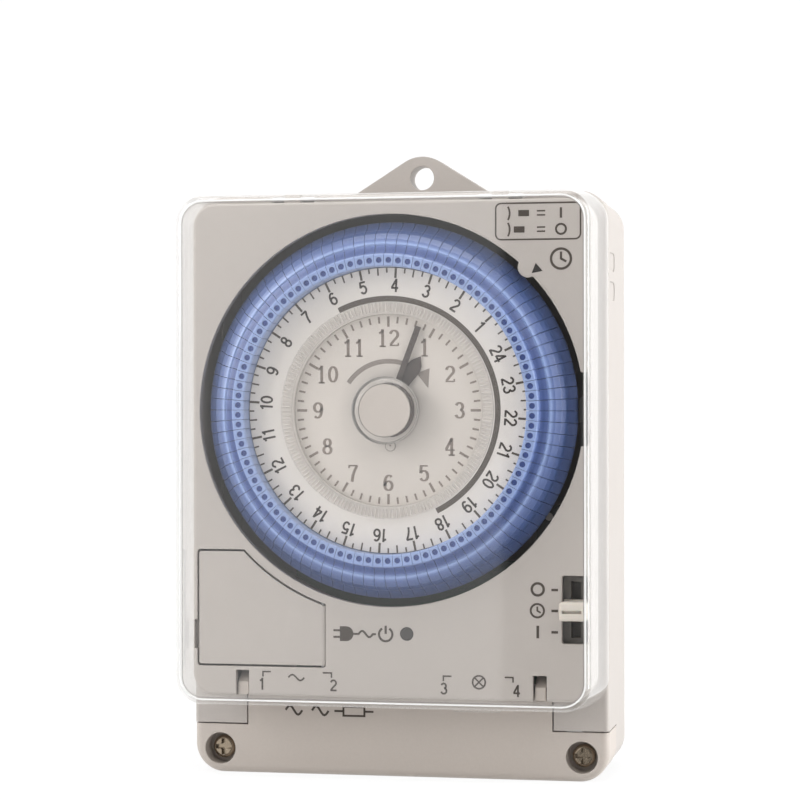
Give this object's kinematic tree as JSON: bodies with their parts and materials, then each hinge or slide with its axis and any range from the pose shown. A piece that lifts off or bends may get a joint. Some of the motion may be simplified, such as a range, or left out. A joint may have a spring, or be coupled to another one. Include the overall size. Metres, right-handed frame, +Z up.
{
  "type": "mechanical 24-hour timer",
  "caption": "Wall-mounted mechanical day timer: round dial with a ring of time-set pins around a small clock, hinged clear cover, mode slide, terminal cover and hanging ear.",
  "frame": {"origin": "where the dial's axis meets the flat rear mounting face", "axes": "+X to the right as seen from the front, +Y into the wall, so the front faces -Y, +Z up towards the hanging ear"},
  "size_m": [0.104, 0.0586, 0.1553],
  "materials": {
    "case": "warm grey ABS, fine spark texture",
    "terminal_cover": "warm grey ABS, fine texture",
    "clear": "clear polycarbonate",
    "steel": "plain steel",
    "screw": "nickel-plated steel",
    "dark_plastic": "black moulding",
    "black_plastic": "black moulding",
    "cell": "sleeved cell",
    "brass": "turned brass",
    "board": "glass-epoxy board",
    "core": "laminated core",
    "film_cap": "potted film capacitor",
    "lamp": "tinted epoxy",
    "lens": "smoked acrylic",
    "cream": "cream acetal",
    "plate": "zinc-plated plate",
    "gear_plastic": "natural acetal",
    "dial_white": "printed off-white dial",
    "hand": "black paint",
    "knob": "clear knob with a tinted face",
    "pin_blue": "blue-grey moulding"
  },
  "bodies": {
    "case": {"rear_case": "case", "front_case": "case", "terminal_cover": "terminal_cover", "cover_hinge_pins": "steel", "terminal_cover_screws": "screw", "case_screws": "screw", "battery_door_pin": "steel", "battery_holder": "dark_plastic", "battery_cell": "cell", "battery_contacts": "steel", "terminal_block": "dark_plastic", "terminal_clamps": "brass", "terminal_screws": "screw", "circuit_board": "board", "transformer": "core", "smoothing_capacitor": "dark_plastic", "mains_capacitor": "film_cap", "power_lamp": "lamp", "light_pipe": "lens", "mode_switch": "dark_plastic", "snap_switch": "dark_plastic", "trip_lever_pivot": "steel", "movement_rear_plate": "plate", "movement_front_plate": "plate", "movement_pillars": "brass", "movement_screws": "screw", "clock_motor": "steel", "minute_wheel_stud": "steel", "dial_hub": "gear_plastic", "dial_hub_screws": "screw", "clock_face": "dial_white"},
    "dial": {"dial_carrier": "dark_plastic", "number_ring": "dial_white", "time_pins": "pin_blue"},
    "hour": {"hour_wheel": "gear_plastic", "hour_hand": "hand"},
    "minute": {"minute_arbor": "brass", "minute_hand": "hand", "setting_disc": "clear", "setting_knob": "knob"},
    "minute_wheel": {"minute_wheel": "gear_plastic"},
    "motor_pinion": {"motor_pinion": "brass"},
    "dial_drive": {"dial_drive_arbor": "brass"},
    "cover": {"clear_cover": "clear"},
    "battery_door": {"battery_door": "case"},
    "mode_slider": {"mode_slider": "cream"},
    "trip_lever": {"trip_lever": "black_plastic"},
    "snap_plunger": {"snap_plunger": "cream"},
    "pin_0015": {"time_pin_0015": "pin_blue"},
    "pin_0030": {"time_pin_0030": "pin_blue"},
    "pin_0045": {"time_pin_0045": "pin_blue"},
    "pin_0100": {"time_pin_0100": "pin_blue"},
    "pin_0115": {"time_pin_0115": "pin_blue"},
    "pin_0130": {"time_pin_0130": "pin_blue"},
    "pin_0145": {"time_pin_0145": "pin_blue"},
    "pin_0200": {"time_pin_0200": "pin_blue"}
  },
  "joints": [
    {"name": "dial_spin", "type": "hinge", "parent": "case", "child": "dial", "pos_m": [0, -0.043, 0], "axis": [0, 1, 0], "continuous": true},
    {"name": "hour_spin", "type": "hinge", "parent": "case", "child": "hour", "pos_m": [0, -0.03, 0], "axis": [0, 1, 0], "continuous": true},
    {"name": "minute_spin", "type": "hinge", "parent": "case", "child": "minute", "pos_m": [0, -0.04, 0], "axis": [0, 1, 0], "continuous": true},
    {"name": "minute_wheel_spin", "type": "hinge", "parent": "case", "child": "minute_wheel", "pos_m": [-0.012, -0.024, 0], "axis": [0, 1, 0], "continuous": true},
    {"name": "motor_spin", "type": "hinge", "parent": "case", "child": "motor_pinion", "pos_m": [0, -0.0205, -0.015], "axis": [0, 1, 0], "continuous": true},
    {"name": "dial_drive_spin", "type": "hinge", "parent": "case", "child": "dial_drive", "pos_m": [0.0276, -0.032, 0], "axis": [0, 1, 0], "continuous": true},
    {"name": "cover_hinge", "type": "hinge", "parent": "case", "child": "cover", "pos_m": [0, -0.0376, 0.052], "axis": [-1, 0, 0], "range_deg": [0, 105]},
    {"name": "battery_door_hinge", "type": "hinge", "parent": "case", "child": "battery_door", "pos_m": [-0.0167, -0.0455, -0.054], "axis": [0, 0, 1], "range_deg": [0, 18]},
    {"name": "mode_slide", "type": "slide", "parent": "case", "child": "mode_slider", "axis": [0, 0, 1], "range_m": [-0.005, 0.005]},
    {"name": "trip_lever_swing", "type": "hinge", "parent": "case", "child": "trip_lever", "pos_m": [0.0442, -0.0414, -0.0218], "axis": [0, 1, 0], "range_deg": [0, 2.6]},
    {"name": "snap_plunger_slide", "type": "slide", "parent": "case", "child": "snap_plunger", "axis": [-1, 0, 0], "range_m": [0, 0.0004]},
    {"name": "pin_0015_slide", "type": "slide", "parent": "dial", "child": "pin_0015", "axis": [0.851, 0, 0.5252], "range_m": [0, 0.0012]},
    {"name": "pin_0030_slide", "type": "slide", "parent": "dial", "child": "pin_0030", "axis": [0.8148, 0, 0.5797], "range_m": [0, 0.0012]},
    {"name": "pin_0045_slide", "type": "slide", "parent": "dial", "child": "pin_0045", "axis": [0.7752, 0, 0.6318], "range_m": [0, 0.0012]},
    {"name": "pin_0100_slide", "type": "slide", "parent": "dial", "child": "pin_0100", "axis": [0.7322, 0, 0.6811], "range_m": [0, 0.0012]},
    {"name": "pin_0115_slide", "type": "slide", "parent": "dial", "child": "pin_0115", "axis": [0.6861, 0, 0.7275], "range_m": [0, 0.0012]},
    {"name": "pin_0130_slide", "type": "slide", "parent": "dial", "child": "pin_0130", "axis": [0.637, 0, 0.7708], "range_m": [0, 0.0012]},
    {"name": "pin_0145_slide", "type": "slide", "parent": "dial", "child": "pin_0145", "axis": [0.5852, 0, 0.8109], "range_m": [0, 0.0012]},
    {"name": "pin_0200_slide", "type": "slide", "parent": "dial", "child": "pin_0200", "axis": [0.531, 0, 0.8474], "range_m": [0, 0.0012]}
  ],
  "couplings": [
    {"joint": "hour_spin", "follows": "dial_spin", "ratio": 2},
    {"joint": "minute_spin", "follows": "dial_spin", "ratio": 24},
    {"joint": "minute_wheel_spin", "follows": "dial_spin", "ratio": -8},
    {"joint": "motor_spin", "follows": "dial_spin", "ratio": -48},
    {"joint": "dial_drive_spin", "follows": "dial_spin", "ratio": -6.6667},
    {"joint": "snap_plunger_slide", "follows": "trip_lever_swing", "m_per_rad": 0.0078}
  ]
}
